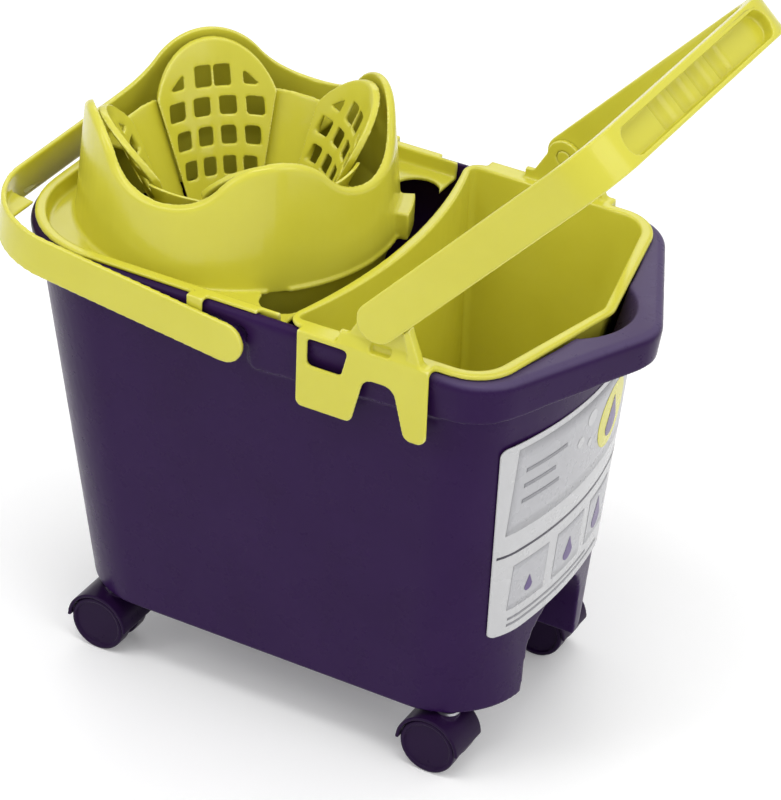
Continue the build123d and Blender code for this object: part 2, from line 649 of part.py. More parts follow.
def jaw(angle):
    """Perforated jaw with its lever foot, hinged at its lower edge."""
    face = facing(angle)
    plate = cone_shell(PIVOT_Z, JAW_TOP_Z + 1, JAW_FOOT_R, JAW_TOP_R, JAW_T)
    plate = plate & extrude(face * jaw_outline(0), SHELL_BASE_R)
    edge = cone_shell(PIVOT_Z, JAW_TOP_Z + 1, JAW_FOOT_R, JAW_TOP_R, JAW_RIM_T)
    edge = edge & extrude(face * (jaw_outline(0) - jaw_outline(JAW_RIM_W)), SHELL_BASE_R)
    part = plate + edge
    part -= extrude(face * jaw_holes(), SHELL_BASE_R)
    hinge = Plane(face.origin + face.z_dir * PIVOT_R, x_dir=face.z_dir, z_dir=-face.x_dir)
    lever_len = PIVOT_R - JAW_LEVER_TIP_R
    lever = Pos(-lever_len / 2, PIVOT_Z) * Rectangle(lever_len, JAW_LEVER_T)
    lever += Pos(0, PIVOT_Z) * Circle(JAW_BOSS_R)
    step = PIVOT_R - jaw_radius(PIVOT_Z + 2 * JAW_BOSS_R)
    block_low = PIVOT_Z - JAW_LEVER_T / 2
    block_top = PIVOT_Z + 2 * JAW_BOSS_R
    nose = (JAW_BOSS_R / 2, PIVOT_Z + JAW_BOSS_R / 2)
    block = [(-step, block_low), (0, block_low), nose, (-step, block_top)]
    lever += make_face(Polyline(*block, close=True))
    part += extrude(hinge * lever, JAW_BOSS_W / 2, both=True)
    part -= extrude(hinge * (Pos(0, PIVOT_Z) * Circle(PIN_R + PIN_CLEAR)), SHELL_BASE_R, both=True)
    return part


def jaw_pins():
    """Four hinge pins, pressed into the basket's ears."""
    pins = []
    half = JAW_BOSS_W / 2 + EAR_GAP + EAR_T
    for k in range(4):
        face = facing(45 + 90 * k)
        hinge = Plane(face.origin + face.z_dir * PIVOT_R, x_dir=face.z_dir, z_dir=-face.x_dir)
        pins.append(extrude(hinge * (Pos(0, PIVOT_Z) * Circle(PIN_R)), half, both=True))
    return Compound(children=pins)


def wringer_basket():
    """Lower ring with hinge ears, four plain panels, and the spider that carries the guide post."""
    ring_low = PIVOT_Z - JAW_BOSS_R - RING_T - RING_GAP
    basket = Pos(WRINGER_X, 0, ring_low) * extrude(Circle(RING_OUT_R) - Circle(RING_IN_R), RING_T)
    wall = cone_shell(
        ring_low,
        PANEL_TOP_Z,
        jaw_radius(ring_low) + PANEL_OUT,
        jaw_radius(PANEL_TOP_Z) + PANEL_OUT,
        PANEL_T,
    )
    ear_mid = JAW_BOSS_W / 2 + EAR_GAP + EAR_T / 2
    for k in range(4):
        panel_face = facing(90 * k)
        low_half = (jaw_radius(ring_low) + PANEL_OUT) * sin(radians(PANEL_HALF_ANGLE))
        top_half = (jaw_radius(PANEL_TOP_Z) + PANEL_OUT) * sin(radians(PANEL_HALF_ANGLE))
        corners = [
            (-low_half, ring_low),
            (low_half, ring_low),
            (top_half, PANEL_TOP_Z),
            (-top_half, PANEL_TOP_Z),
        ]
        panel = wall & extrude(panel_face * make_face(Polyline(*corners, close=True)), SHELL_BASE_R)
        lug_z = LEDGE_Z + LEDGE_T
        lug_face = Pos(0, lug_z + LEDGE_T / 2) * Rectangle(2 * (top_half - LUG_INSET), LEDGE_T)
        lug_in = jaw_radius(lug_z) + PANEL_OUT + PANEL_T / 2
        lug_out = shell_radius(lug_z) - SHELL_T - LUG_GAP
        lug = extrude(panel_face * lug_face, lug_out) - extrude(panel_face * lug_face, lug_in)
        rib_side = Plane(panel_face.origin, x_dir=panel_face.z_dir, z_dir=-panel_face.x_dir)
        rib_points = [
            (RING_IN_R, ring_low + RING_T),
            (RING_OUT_R, ring_low + RING_T),
            (RING_OUT_R, ring_low),
            (HUB_R, HUB_Z),
            (HUB_R - HUB_LAP, HUB_Z),
            (HUB_R - HUB_LAP, HUB_Z + HUB_T),
        ]
        rib = extrude(rib_side * make_face(Polyline(*rib_points, close=True)), ARM_T / 2, both=True)
        basket += panel + lug + rib
        hinge_face = facing(45 + 90 * k)
        hinge = Plane(
            hinge_face.origin + hinge_face.z_dir * PIVOT_R, x_dir=hinge_face.z_dir, z_dir=-hinge_face.x_dir
        )
        ear_face = Pos(0, PIVOT_Z) * Circle(JAW_BOSS_R)
        ear_face += Pos(0, (ring_low + PIVOT_Z) / 2) * Rectangle(2 * JAW_BOSS_R, PIVOT_Z - ring_low)
        ear_face -= Pos(0, PIVOT_Z) * Circle(PIN_R)
        ears = extrude(hinge * ear_face, ear_mid + EAR_T / 2, both=True)
        ears -= extrude(hinge * ear_face, ear_mid - EAR_T / 2, both=True)
        basket += ears
    hub = Pos(WRINGER_X, 0, HUB_Z) * extrude(Circle(HUB_R), HUB_T)
    post_top = plate_low() - press_travel() - POST_GAP
    post = Pos(WRINGER_X, 0, HUB_Z) * extrude(Circle(POST_R), post_top - HUB_Z)
    return basket + hub + post


def plate_low():
    return PIVOT_Z + JAW_LEVER_T / 2 + PLATE_GAP


def press_travel():
    return (PIVOT_R - PLATE_R) * tan(radians(JAW_SWING))


def press_plate():
    """Round plate on the four levers, with a sleeve that slides on the guide post."""
    low = plate_low()
    plate = Pos(WRINGER_X, 0, low) * extrude(Circle(PLATE_R), PLATE_T)
    plate = fillet(plate.edges().group_by(Axis.Z)[-1], PLATE_EDGE_R)
    bore = POST_R + SLEEVE_CLEAR
    sleeve = Pos(WRINGER_X, 0, low - SLEEVE_DROP) * extrude(Circle(bore + SLEEVE_T), SLEEVE_DROP)
    well = Pos(WRINGER_X, 0, low - SLEEVE_DROP) * extrude(Circle(bore), SLEEVE_DROP)
    return plate + sleeve - well


def return_spring():
    """Coil round the sleeve: half turns on arcs that climb steadily."""
    low = HUB_Z + HUB_T + SPRING_WIRE / 2 + SPRING_GAP
    high = plate_low() - SPRING_WIRE / 2 - SPRING_GAP
    steps = 4 * SPRING_TURNS
    rise = (high - low) / steps
    points = []
    for k in range(2 * steps + 1):
        angle = pi / 4 * k
        points.append((SPRING_MEAN_R * cos(angle), SPRING_MEAN_R * sin(angle), low + rise * k / 2))
    arcs = [ThreePointArc(points[2 * k], points[2 * k + 1], points[2 * k + 2]) for k in range(steps)]
    path = Wire(arcs)
    start = Plane(origin=path @ 0, z_dir=path % 0)
    coil = sweep(start * Circle(SPRING_WIRE / 2), path)
    pitch = 4 * rise
    print("return spring: pitch", round(pitch, 2), "least gap to itself", round(pitch - SPRING_WIRE, 2))
    return Pos(WRINGER_X, 0, 0) * coil


def tub_plan(z, inset):
    """Outline of the rinse tub: hollow back arc round the wringer, straight sides, shallow prow."""
    def at(rim_value, floor_value):
        return between(floor_value, rim_value, z, TUB_FLOOR_Z, TUB_RIM_Z)

    x_back = at(TUB_BACK_X, TUB_FLOOR_BACK_X) + inset
    x_front = at(TUB_FRONT_X, TUB_FLOOR_FRONT_X) - inset
    x_nose = at(TUB_NOSE_X, TUB_FLOOR_NOSE_X) - inset
    back_half = at(TUB_HALF_WIDTH, TUB_FLOOR_HALF_WIDTH) - inset
    front_half = at(TUB_FRONT_HALF_WIDTH, TUB_FLOOR_HALF_WIDTH - TUB_FLOOR_TAPER) - inset
    edges = [
        Line((x_back, -back_half), (x_front, -front_half)),
        Line((x_front, -front_half), (x_nose, 0)),
        Line((x_nose, 0), (x_front, front_half)),
        Line((x_front, front_half), (x_back, back_half)),
        ThreePointArc((x_back, back_half), (x_back + TUB_ARC, 0), (x_back, -back_half)),
    ]
    face = make_face(edges)
    corners = face.vertices().sort_by(Axis.X)
    face = fillet(corners[:2], TUB_CORNER - inset)
    corners = [v for v in face.vertices() if abs(v.X - x_front) < 0.01 and abs(abs(v.Y) - front_half) < 0.01]
    face = fillet(corners, TUB_FRONT_CORNER - inset)
    nose = face.vertices().sort_by(Axis.X)[-1]
    face = fillet([nose], TUB_NOSE_CORNER)
    return Pos(0, 0, z) * face


def tub_form(z_low, z_high, inset):
    return loft([tub_plan(z_low, inset), tub_plan(z_high, inset)], ruled=True)


def handle_stop(along):
    """Point on the stop's upper edge, which the leaning handle rests on, at a distance along the handle."""
    lean = radians(HANDLE_LEAN)
    off = HANDLE_WIDTH / 2 + STOP_GAP
    return (EAR_X + along * sin(lean) + off * cos(lean), HANDLE_Z + along * cos(lean) - off * sin(lean))


def hanger(side):
    """Hanging clip outside the bucket rim, its bridge over the deck, and the handle ear."""
    clip_in = RIM_HALF_WIDTH + RIM_OVERHANG + HANGER_FIT
    clip_out = clip_in + HANGER_T
    bridge_low = RIM_Z + HANGER_FIT
    face = Pos((HANGER_X0 + HANGER_X1) / 2, (HANGER_LOW_Z + TUB_RIM_Z) / 2) * Rectangle(
        HANGER_X1 - HANGER_X0, TUB_RIM_Z - HANGER_LOW_Z
    )
    fork_low = HANGER_LOW_Z - 1
    fork_points = [(LEG_X1, fork_low), (TIP_X0, fork_low), (FORK_X1, FORK_TOP_Z), (FORK_X0, FORK_TOP_Z)]
    fork = make_face(Polyline(*fork_points, close=True))
    fork = fillet(fork.vertices().group_by(Axis.Y)[-1], FORK_R)
    window_points = [
        (WINDOW_X0, WINDOW_Z0),
        (WINDOW_LOW_X1, WINDOW_Z0),
        (WINDOW_X1, WINDOW_Z1),
        (WINDOW_X0, WINDOW_Z1),
    ]
    window = make_face(Polyline(*window_points, close=True))
    window = fillet(window.vertices(), WINDOW_R)
    face = face - fork - window
    lowest = [v for v in face.vertices() if abs(v.Y - HANGER_LOW_Z) < 0.01]
    face = fillet([v for v in lowest if v.X < FORK_X0], HANGER_CORNER)
    lowest = [v for v in face.vertices() if abs(v.Y - HANGER_LOW_Z) < 0.01 and v.X > FORK_X1]
    face = fillet(lowest, HANGER_TIP_R)
    clip = extrude(Plane.XZ * face, -clip_out) - extrude(Plane.XZ * face, -clip_in)
    tub_edge = TUB_FRONT_HALF_WIDTH - TUB_RIM_OUT
    bridge = Pos((HANGER_X0 + HANGER_X1) / 2, (tub_edge + clip_out) / 2, (bridge_low + TUB_RIM_Z) / 2) * Box(
        HANGER_X1 - HANGER_X0, clip_out - tub_edge, TUB_RIM_Z - bridge_low
    )
    ear_out = clip_out - HANDLE_T
    ear_in = ear_out - EAR_THICK
    ear_face = Pos(EAR_X, HANDLE_Z) * Circle(EAR_TOP_Z - HANDLE_Z)
    points = [
        (EAR_X - EAR_HALF_WIDTH, bridge_low),
        (EAR_X + EAR_HALF_WIDTH, bridge_low),
        (EAR_X + EAR_TOP_Z - HANDLE_Z, HANDLE_Z),
        (EAR_X - EAR_TOP_Z + HANDLE_Z, HANDLE_Z),
    ]
    ear_face += make_face(Polyline(*points, close=True))
    stop_low = handle_stop(STOP_ALONG)
    stop_high = handle_stop(STOP_ALONG + STOP_LENGTH)
    foot_in = (STOP_FOOT_X - STOP_WIDTH, bridge_low)
    foot_out = (STOP_FOOT_X, bridge_low)
    ear_face += make_face(
        Polyline((EAR_X, bridge_low), foot_out, stop_high, stop_low, (EAR_X, HANDLE_Z), close=True)
    )
    ear_face -= Pos(EAR_X, HANDLE_Z) * Circle(HANDLE_PIN_R + HANDLE_PIN_CLEAR)
    ear = extrude(Plane.XZ * ear_face, -ear_out) - extrude(Plane.XZ * ear_face, -ear_in)
    stop_face = make_face(Polyline(foot_in, foot_out, stop_high, stop_low, close=True))
    ear += extrude(Plane.XZ * stop_face, -ear_out - STOP_T) - extrude(Plane.XZ * stop_face, -ear_in)
    slope = [(clip_out, bridge_low), (clip_out, TUB_RIM_Z), (ear_out, EAR_SLOPE_Z), (ear_in, EAR_SLOPE_Z)]
    slope.append((ear_in, bridge_low))
    slope_end = Plane(origin=(EAR_X - EAR_HALF_WIDTH, 0, 0), x_dir=(0, 1, 0), z_dir=(1, 0, 0))
    gusset = extrude(slope_end * make_face(Polyline(*slope, close=True)), 2 * EAR_HALF_WIDTH)
    part = clip + bridge + ear + gusset
    part -= Pos(SLOT_X, clip_out, SLOT_Z) * Box(SLOT_LENGTH, 2 * SLOT_DEPTH, SLOT_HEIGHT)
    return part if side > 0 else mirror(part, Plane.XZ)


def rinse_tub():
    tub = tub_form(TUB_FLOOR_Z, TUB_RIM_Z, 0)
    rim = extrude(tub_plan(TUB_RIM_Z - TUB_RIM_T, -TUB_RIM_OUT), TUB_RIM_T)
    rim = fillet(rim.edges().group_by(Axis.Z)[-1], TUB_RIM_EDGE_R)
    hollow = tub_form(TUB_FLOOR_Z + TUB_WALL, TUB_RIM_Z + 1, TUB_WALL)
    tub = tub + rim
    for side in (-1, 1):
        tub += hanger(side)
    return tub - hollow


def tub_handle():
    """Swinging handle: a broad U band with a channel grip, built upright over its pivots, then leaned."""
    outer = RIM_HALF_WIDTH + RIM_OVERHANG + HANGER_FIT + HANGER_T
    inner = outer - HANDLE_T + HANDLE_CLEAR
    outer = inner + HANDLE_T
    half_width = HANDLE_WIDTH / 2
    top = HANDLE_LENGTH
    low = -HANDLE_WIDTH
    block = Pos(0, (top + low) / 2) * Rectangle(2 * outer, top - low)
    block = fillet(block.vertices().group_by(Axis.Y)[-1], HANDLE_BEND)
    inside_top = top - GRIP_DEPTH
    inside = Pos(0, (inside_top + low) / 2 - 1) * Rectangle(2 * inner, inside_top - low + 2)
    inside = fillet(inside.vertices().group_by(Axis.Y)[-1], HANDLE_BEND - HANDLE_T)
    band = extrude(Plane.YZ * (block - inside), half_width, both=True)
    side_face = Circle(half_width) + Pos(0, top / 2) * Rectangle(HANDLE_WIDTH, top)
    handle = band & extrude(Plane.XZ * side_face, outer + 1, both=True)
    pocket_w = HANDLE_WIDTH - GRIP_WALL - GRIP_LIP
    pocket = Pos((GRIP_LIP - GRIP_WALL) / 2, 0) * SlotOverall(
        2 * GRIP_HALF_LENGTH, pocket_w, rotation=90
    )
    floor = top - GRIP_DEPTH + GRIP_FLOOR_T
    handle -= Pos(0, 0, floor) * extrude(pocket, GRIP_DEPTH)
    for k in range(SCOOPS):
        y = (k - (SCOOPS - 1) / 2) * SCOOP_PITCH
        mid = Pos((GRIP_LIP - GRIP_WALL) / 2, y, floor - SCOOP_DEPTH + SCOOP_R)
        handle -= mid * Rot(0, 90, 0) * Cylinder(SCOOP_R, pocket_w)
    for side in (-1, 1):
        pin = Plane(origin=(0, side * inner, 0), x_dir=(1, 0, 0), z_dir=(0, -side, 0))
        handle += extrude(pin * Circle(HANDLE_PIN_R), HANDLE_CLEAR + EAR_THICK)
    return Pos(EAR_X, 0, HANDLE_Z) * Rot(0, HANDLE_LEAN, 0) * handle


def end_label():
    """Thin sticker that follows the bowed end wall."""
    skin = wall_form(LABEL_BOTTOM_Z - 1, LABEL_TOP_Z + 1, -LABEL_T)
    skin -= wall_form(LABEL_BOTTOM_Z - 2, LABEL_TOP_Z + 2, 0)
    corners = [
        (LABEL_NEAR_LOW_Y, LABEL_BOTTOM_Z),
        (LABEL_FAR_Y, LABEL_BOTTOM_Z),
        (LABEL_FAR_Y, LABEL_TOP_Z),
        (LABEL_NEAR_TOP_Y, LABEL_TOP_Z),
    ]
    window = make_face(Polyline(*corners, close=True))
    window = fillet(window.vertices(), LABEL_CORNER)
    return skin & extrude(Plane.YZ * window, RIM_FRONT_X + PROW)


def build():
    save(bucket_body(), "bucket_body")
    save(end_label(), "end_label")
    for station, (x, y) in caster_stations().items():
        for piece, solid in caster_parts().items():
            save(Pos(x, y, 0) * solid, f"caster_{station}_{piece}")
    save(bail_handle(), "bail_handle")
    save(wringer_housing(), "wringer_housing")
    save(wringer_basket(), "wringer_basket")
    for k, name in enumerate(("rear_right", "rear_left", "front_left", "front_right")):
        save(jaw(45 + 90 * k), f"jaw_{name}")
    save(jaw_pins(), "jaw_pins")
    save(press_plate(), "press_plate")
    save(return_spring(), "return_spring")
    save(rinse_tub(), "rinse_tub")
    save(tub_handle(), "tub_handle")
    print("press travel", round(press_travel(), 3))


build()
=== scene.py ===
import json
from math import cos, pi, radians, sin

import bmesh
import bpy
from mathutils import Matrix, Vector


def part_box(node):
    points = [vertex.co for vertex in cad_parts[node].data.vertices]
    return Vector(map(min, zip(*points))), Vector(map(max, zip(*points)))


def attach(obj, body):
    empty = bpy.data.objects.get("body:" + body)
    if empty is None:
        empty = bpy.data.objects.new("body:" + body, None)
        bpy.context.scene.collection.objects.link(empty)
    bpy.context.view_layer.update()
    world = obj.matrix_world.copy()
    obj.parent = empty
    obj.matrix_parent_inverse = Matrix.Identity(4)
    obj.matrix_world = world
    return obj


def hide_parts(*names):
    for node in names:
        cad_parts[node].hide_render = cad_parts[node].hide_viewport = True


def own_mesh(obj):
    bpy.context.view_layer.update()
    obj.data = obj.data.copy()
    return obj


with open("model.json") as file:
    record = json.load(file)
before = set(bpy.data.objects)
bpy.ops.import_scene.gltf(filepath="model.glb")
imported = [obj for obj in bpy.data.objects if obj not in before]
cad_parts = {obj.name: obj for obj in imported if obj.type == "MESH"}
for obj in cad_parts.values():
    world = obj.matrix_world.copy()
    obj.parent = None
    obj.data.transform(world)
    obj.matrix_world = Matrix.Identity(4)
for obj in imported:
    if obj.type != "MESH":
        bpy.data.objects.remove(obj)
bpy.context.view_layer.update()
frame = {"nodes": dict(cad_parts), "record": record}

NODES = frame["nodes"]

# Camera that matches the photograph's frame of 781 by 800 pixels
CAMERA_AT = Vector((1.0146, -1.8257, 1.5304))
CAMERA_AZIMUTH = 28.22
CAMERA_ELEVATION = 32.53
CAMERA_ROLL = 2.38
CAMERA_FOCAL_PX = 3776.6
FRAME_HEIGHT_PX = 800
SENSOR = 36.0
CAMERA_REACH = 50.0

# Colours, linear
LIME = (0.640, 0.600, 0.056)
LIME_DEEP = (0.620, 0.578, 0.049)
LIME_PALE = (0.658, 0.620, 0.066)
# Paler tone painted on the lime plastic's rounded edges as a highlight
LIME_EDGE_HIGHLIGHT = (0.800, 0.770, 0.260)
VIOLET = (0.0262, 0.0078, 0.0560)
VIOLET_DEEP = (0.0240, 0.0068, 0.0500)
VIOLET_PALE = (0.0290, 0.0092, 0.0595)
# Paler tone painted on the violet plastic's rounded edges as a highlight
VIOLET_EDGE_HIGHLIGHT = (0.110, 0.082, 0.160)
# Paler tone painted on the upper faces of the bucket's pouring end as a highlight
VIOLET_RIM_HIGHLIGHT = (0.088, 0.064, 0.140)
CASTER = (0.0165, 0.0048, 0.0320)
CASTER_DEEP = (0.0135, 0.0038, 0.0270)
CASTER_PALE = (0.0205, 0.0070, 0.0390)
# Paler tone painted on the casters' rounded edges as a highlight
CASTER_EDGE_HIGHLIGHT = (0.060, 0.040, 0.085)
STEEL = (0.50, 0.50, 0.52)
FILM = (0.54, 0.54, 0.55)

INK_PALE = (0.44, 0.44, 0.46)
INK_GREY = (0.24, 0.24, 0.26)
INK_DARK = (0.035, 0.030, 0.050)
INK_VIOLET = (0.085, 0.042, 0.18)
STEEL_DULL = (0.40, 0.40, 0.42)
FLOOR_DULL = (0.93, 0.93, 0.93)
FLOOR = (0.95, 0.95, 0.95)

# Where the bucket's rim gets a painted highlight, a paler tone on its upper faces at the pouring end: how far
# it faces up, and its reach in metres
RIM_HIGHLIGHT_FACING = (0.10, 0.85)
RIM_HIGHLIGHT_X = (0.080, 0.165)
RIM_HIGHLIGHT_Z = (0.296, 0.312)

# Rounding of the mouldings: voxel in metres, smoothing passes, share of the faces kept
BUCKET_ROUNDING = (0.0012, 5, 0.35)
SHELL_ROUNDING = (0.0009, 10, 0.3)
TUB_ROUNDING = (0.0009, 6, 0.3)
JAW_ROUNDING = (0.0008, 4, 0.3)
CASTER_ROUNDING = (0.0006, 4, 0.4)
WELD_GAP = 1e-5
ROUND_FACTOR = 0.5
EASE_FACTOR = 0.4
EASE_PASSES = 2

# Part of a noise's range that is spread over a whole scale
NOISE_LOW = 0.3
NOISE_HIGH = 0.7

# Light: lamps by place, size in metres and watts, all aimed at the same point
LAMP_TARGET = (0, 0, 0.30)
LAMPS = {
    "key": ((-1.5, -1.7, 1.9), (0.9, 1.3), 10),
    "fill": ((2.2, -0.4, 1.7), (1.8, 1.8), 17),
    "top": ((-0.05, -0.55, 2.1), (1.6, 0.5), 10),
    "back": ((-1.0, 1.8, 1.6), (1.2, 0.7), 4),
}
SUN_STRENGTH = 0.35
SUN_ANGLE = 50
SUN_DIRECTION = (-0.12, -0.25, -1.0)
WORLD_STRENGTH = 0.68
FLOOR_LIFT = 0.13
FLOOR_HALF_SIZE = 6.0


def new_material(name):
    material = bpy.data.materials.new(name)
    material.use_nodes = True
    tree = material.node_tree
    tree.nodes.clear()
    out = tree.nodes.new("ShaderNodeOutputMaterial")
    shader = tree.nodes.new("ShaderNodeBsdfPrincipled")
    tree.links.new(shader.outputs["BSDF"], out.inputs["Surface"])
    return material, tree, shader


def noise(tree, scale, detail=3.0, roughness=0.5):
    """Noise in the object's own metres; a scale of 100 gives blotches about a centimetre wide."""
    place = tree.nodes.new("ShaderNodeTexCoord")
    texture = tree.nodes.new("ShaderNodeTexNoise")
    texture.inputs["Scale"].default_value = scale
    texture.inputs["Detail"].default_value = detail
    texture.inputs["Roughness"].default_value = roughness
    tree.links.new(place.outputs["Object"], texture.inputs["Vector"])
    return texture.outputs["Fac"]


def ramp(tree, factor, stops):
    node = tree.nodes.new("ShaderNodeValToRGB")
    elements = node.color_ramp.elements
    while len(elements) < len(stops):
        elements.new(0.5)
    for element, (position, colour) in zip(elements, stops):
        element.position = position
        element.color = (*colour, 1.0)
    tree.links.new(factor, node.inputs["Fac"])
    return node.outputs["Color"]


def spread(tree, factor, low, high):
    """Spreads a noise over a range of values."""
    node = tree.nodes.new("ShaderNodeMapRange")
    node.inputs["From Min"].default_value = NOISE_LOW
    node.inputs["From Max"].default_value = NOISE_HIGH
    node.inputs["To Min"].default_value = low
    node.inputs["To Max"].default_value = high
    tree.links.new(factor, node.inputs["Value"])
    return node.outputs["Result"]


def bumps(tree, shader, layers):
    """Stacks bump layers of (height, strength, distance in metres)."""
    normal = None
    for height, strength, distance in layers:
        node = tree.nodes.new("ShaderNodeBump")
        node.inputs["Strength"].default_value = strength
        node.inputs["Distance"].default_value = distance
        tree.links.new(height, node.inputs["Height"])
        if normal is not None:
            tree.links.new(normal, node.inputs["Normal"])
        normal = node.outputs["Normal"]
    tree.links.new(normal, shader.inputs["Normal"])


def painted_edge_highlights(tree, colour, edge, low, high):
    """Painted highlight: mixes in a paler tone where the surface bends sharply outward."""
    geometry = tree.nodes.new("ShaderNodeNewGeometry")
    sharp = tree.nodes.new("ShaderNodeMapRange")
    sharp.inputs["From Min"].default_value = low
    sharp.inputs["From Max"].default_value = high
    tree.links.new(geometry.outputs["Pointiness"], sharp.inputs["Value"])
    mix = tree.nodes.new("ShaderNodeMix")
    mix.data_type = "RGBA"
    mix.inputs["B"].default_value = (*edge, 1.0)
    tree.links.new(sharp.outputs["Result"], mix.inputs["Factor"])
    tree.links.new(colour, mix.inputs["A"])
    return mix.outputs["Result"]


def step(tree, value, low, high):
    """Rises smoothly from 0 to 1 between two values."""
    node = tree.nodes.new("ShaderNodeMapRange")
    node.interpolation_type = "SMOOTHSTEP"
    node.inputs["From Min"].default_value = low
    node.inputs["From Max"].default_value = high
    tree.links.new(value, node.inputs["Value"])
    return node.outputs["Result"]


def painted_rim_highlight(tree, colour, pale):
    """Painted highlight: mixes in a paler tone on the upper faces of the pouring end, where light glances off
    the rim.
    """
    place = tree.nodes.new("ShaderNodeTexCoord")
    at = tree.nodes.new("ShaderNodeSeparateXYZ")
    tree.links.new(place.outputs["Object"], at.inputs["Vector"])
    facing = tree.nodes.new("ShaderNodeSeparateXYZ")
    tree.links.new(place.outputs["Normal"], facing.inputs["Vector"])
    highlit = step(tree, facing.outputs["Z"], *RIM_HIGHLIGHT_FACING)
    for other in (step(tree, at.outputs["X"], *RIM_HIGHLIGHT_X), step(tree, at.outputs["Z"], *RIM_HIGHLIGHT_Z)):
        both = tree.nodes.new("ShaderNodeMath")
        both.operation = "MULTIPLY"
        tree.links.new(highlit, both.inputs[0])
        tree.links.new(other, both.inputs[1])
        highlit = both.outputs["Value"]
    mix = tree.nodes.new("ShaderNodeMix")
    mix.data_type = "RGBA"
    mix.inputs["B"].default_value = (*pale, 1.0)
    tree.links.new(highlit, mix.inputs["Factor"])
    tree.links.new(colour, mix.inputs["A"])
    return mix.outputs["Result"]


def moulded_plastic(name, tones, edge, bend, gloss, grain, shine=0.5, subsurface=0.0, rim=None):
    """Injection-moulded plastic: cloudy pigment, paler edges as a painted highlight, uneven gloss, waviness,
    fine skin grain, and where asked a painted highlight on the rim's upper faces.
    """
    material, tree, shader = new_material(name)
    cloud = noise(tree, 14.0, 4.0, 0.6)
    colour = ramp(tree, cloud, list(zip((0.30, 0.52, 0.75), tones)))
    # Painted highlight: a paler tone on sharply bent edges
    colour = painted_edge_highlights(tree, colour, edge, *bend)
    # Painted highlight: a paler tone on the rim's upper faces
    if rim is not None:
        colour = painted_rim_highlight(tree, colour, rim)
    tree.links.new(colour, shader.inputs["Base Color"])
    scuff = noise(tree, 55.0, 6.0, 0.65)
    tree.links.new(spread(tree, scuff, gloss - 0.04, gloss + 0.06), shader.inputs["Roughness"])
    waves = (noise(tree, 18.0, 2.0), 0.05, 0.0010)
    skin = (noise(tree, 1500.0, 2.0), grain, 0.00012)
    bumps(tree, shader, [waves, skin])
    shader.inputs["IOR"].default_value = 1.49
    shader.inputs["Specular IOR Level"].default_value = shine
    if subsurface:
        shader.inputs["Subsurface Weight"].default_value = subsurface
        shader.inputs["Subsurface Radius"].default_value = (0.9, 0.8, 0.2)
        shader.inputs["Subsurface Scale"].default_value = 0.004
    return material


def plated_steel(name):
    material, tree, shader = new_material(name)
    streaks = noise(tree, 320.0, 5.0, 0.7)
    colour = ramp(tree, streaks, [(NOISE_LOW, STEEL_DULL), (NOISE_HIGH, STEEL)])
    tree.links.new(colour, shader.inputs["Base Color"])
    tree.links.new(spread(tree, streaks, 0.24, 0.40), shader.inputs["Roughness"])
    shader.inputs["Metallic"].default_value = 1.0
    bumps(tree, shader, [(streaks, 0.08, 0.0001)])
    return material


def printed_film(name, ink, gloss=0.28):
    """Ink on a smooth sticker: faint roller mottling, and a little orange peel in the gloss."""
    material, tree, shader = new_material(name)
    mottle = noise(tree, 240.0, 4.0, 0.6)
    low = tuple(0.985 * c for c in ink)
    tree.links.new(ramp(tree, mottle, [(0.35, low), (0.65, ink)]), shader.inputs["Base Color"])
    tree.links.new(spread(tree, noise(tree, 70.0), gloss - 0.02, gloss + 0.02), shader.inputs["Roughness"])
    bumps(tree, shader, [(noise(tree, 900.0, 2.0), 0.006, 0.0001)])
    return material


def dress(node, material):
    slots = NODES[node].data.materials
    slots.clear()
    slots.append(material)


def soften(node, voxel, passes, keep):
    """Rounds a moulding's edges: even voxels, a few smoothing passes, then fewer faces, evened out."""
    obj = NODES[node]
    weld = obj.modifiers.new("Weld", "WELD")
    weld.merge_threshold = WELD_GAP
    remesh = obj.modifiers.new("Voxels", "REMESH")
    remesh.mode = "VOXEL"
    remesh.voxel_size = voxel
    remesh.use_smooth_shade = True
    smooth = obj.modifiers.new("Round", "SMOOTH")
    smooth.factor = ROUND_FACTOR
    smooth.iterations = passes
    thin = obj.modifiers.new("Thin", "DECIMATE")
    thin.ratio = keep
    ease = obj.modifiers.new("Ease", "SMOOTH")
    ease.factor = EASE_FACTOR
    ease.iterations = EASE_PASSES


lime = moulded_plastic(
    "lime_plastic",
    tones=(LIME_DEEP, LIME, LIME_PALE),
    edge=LIME_EDGE_HIGHLIGHT,
    bend=(0.525, 0.58),
    gloss=0.20,
    grain=0.04,
    subsurface=0.10,
)
violet = moulded_plastic(
    "bucket_violet",
    tones=(VIOLET_DEEP, VIOLET, VIOLET_PALE),
    edge=VIOLET_EDGE_HIGHLIGHT,
    bend=(0.54, 0.62),
    gloss=0.28,
    grain=0.03,
    shine=0.09,
    rim=VIOLET_RIM_HIGHLIGHT,
)
caster = moulded_plastic(
    "caster_dark",
    tones=(CASTER_DEEP, CASTER, CASTER_PALE),
    edge=CASTER_EDGE_HIGHLIGHT,
    bend=(0.55, 0.66),
    gloss=0.30,
    grain=0.06,
    shine=0.10,
)
steel = plated_steel("steel")
film = printed_film("label_film", FILM)

FINISHES = {
    "lime_plastic": lime,
    "bucket_violet": violet,
    "caster_dark": caster,
    "steel": steel,
    "label_film": film,
}
for part in frame["record"]["subparts"]:
    dress(part["node"], FINISHES[part["material_slot"]])

